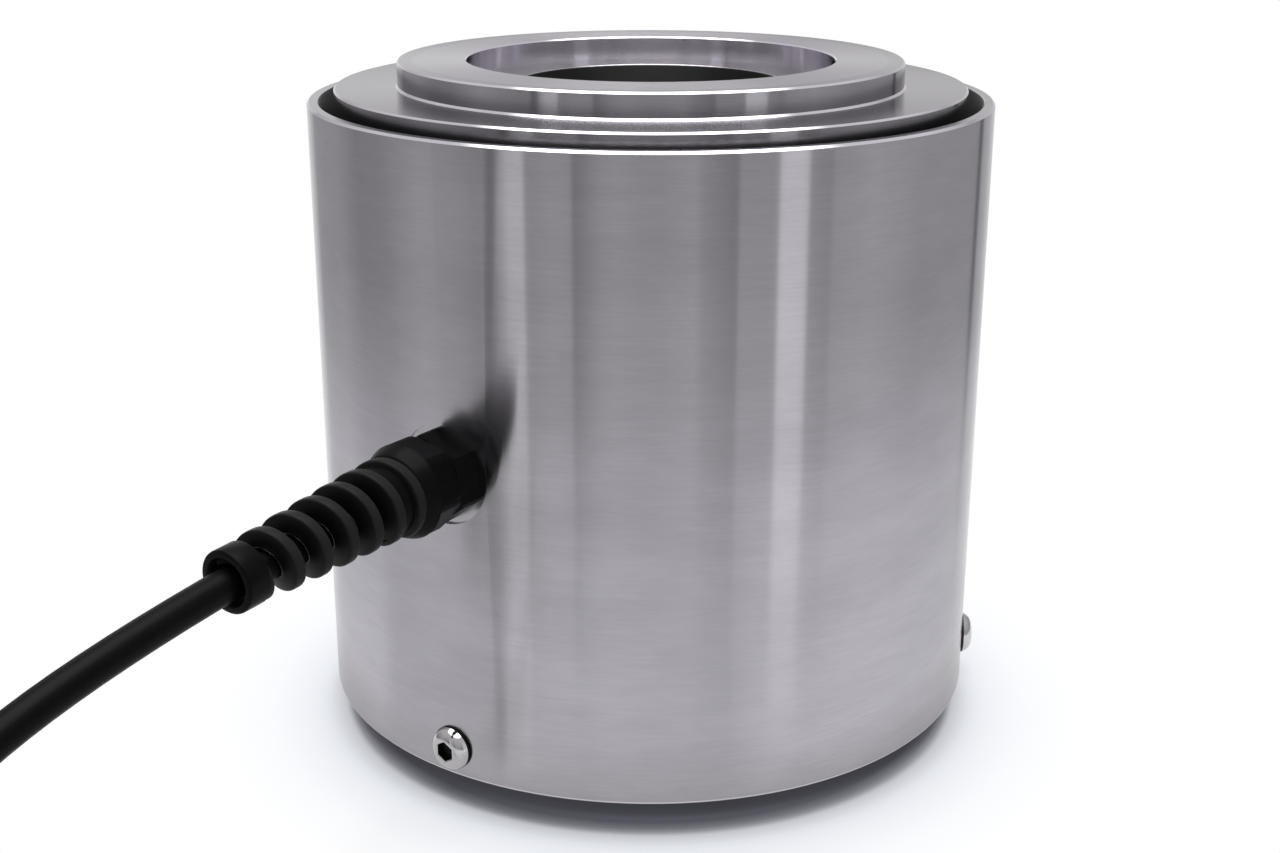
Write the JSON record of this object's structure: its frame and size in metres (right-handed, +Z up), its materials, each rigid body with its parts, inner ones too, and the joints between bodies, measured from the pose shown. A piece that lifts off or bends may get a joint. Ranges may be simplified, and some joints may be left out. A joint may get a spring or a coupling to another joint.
{
  "type": "donut load cell",
  "caption": "Through-hole compression load cell: a turned steel ring column in a cylindrical shell, with a side cable gland, a spiral bend relief and a shielded cable.",
  "frame": {"origin": "the middle of the through bore at the base face, on the surface that the cell stands on", "axes": "+Z up the through bore, towards the raised loading ring; +X out of the shell through the cable gland"},
  "size_m": [0.3606, 0.167, 0.1455],
  "materials": {
    "body_steel": "turned stainless steel, satin",
    "shell_steel": "stainless tube, finely turned and lightly marked",
    "screw_steel": "polished stainless steel",
    "seal_rubber": "matt black nitrile rubber",
    "gland_nylon": "black moulded nylon, semi-matt",
    "cable_jacket": "black cable jacket, satin",
    "gauge_foil": "amber backing film with a foil grid",
    "solder_tin": "tinned copper",
    "harness_enamel": "enamelled wire bundle",
    "board_laminate": "green glass laminate",
    "spacer_brass": "plain brass",
    "small_screw_steel": "plain stainless steel",
    "resistor_ceramic": "black chip body",
    "core_red": "red core insulation",
    "core_white": "white core insulation",
    "core_shield": "yellow sleeve over the shield's drain wire",
    "core_green": "green core insulation",
    "core_black": "black core insulation"
  },
  "bodies": {
    "root": {"sensing_body": "body_steel", "outer_shell": "shell_steel", "lower_shell_seal": "seal_rubber", "upper_shell_seal": "seal_rubber", "shell_screws": "screw_steel", "gland_body": "gland_nylon", "gland_face_seal": "seal_rubber", "gland_locknut": "gland_nylon", "gland_insert": "seal_rubber", "gland_cap": "gland_nylon", "strain_gauge_1": "gauge_foil", "strain_gauge_2": "gauge_foil", "strain_gauge_3": "gauge_foil", "strain_gauge_4": "gauge_foil", "strain_gauge_5": "gauge_foil", "strain_gauge_6": "gauge_foil", "strain_gauge_7": "gauge_foil", "strain_gauge_8": "gauge_foil", "gauge_terminals": "solder_tin", "bridge_harness": "harness_enamel", "terminal_board": "board_laminate", "board_spacers": "spacer_brass", "board_screws": "small_screw_steel", "trim_resistors": "resistor_ceramic", "core_red": "core_red", "core_white": "core_white", "core_shield": "core_shield", "core_green": "core_green", "core_black": "core_black", "cable": "cable_jacket", "cable_coil": "cable_jacket", "cable_tail": "cable_jacket", "cable_end_sleeve": "seal_rubber", "lead_red": "core_red", "lead_white": "core_white", "lead_shield": "core_shield", "lead_green": "core_green", "lead_black": "core_black", "lead_tips": "solder_tin"}
  },
  "joints": []
}
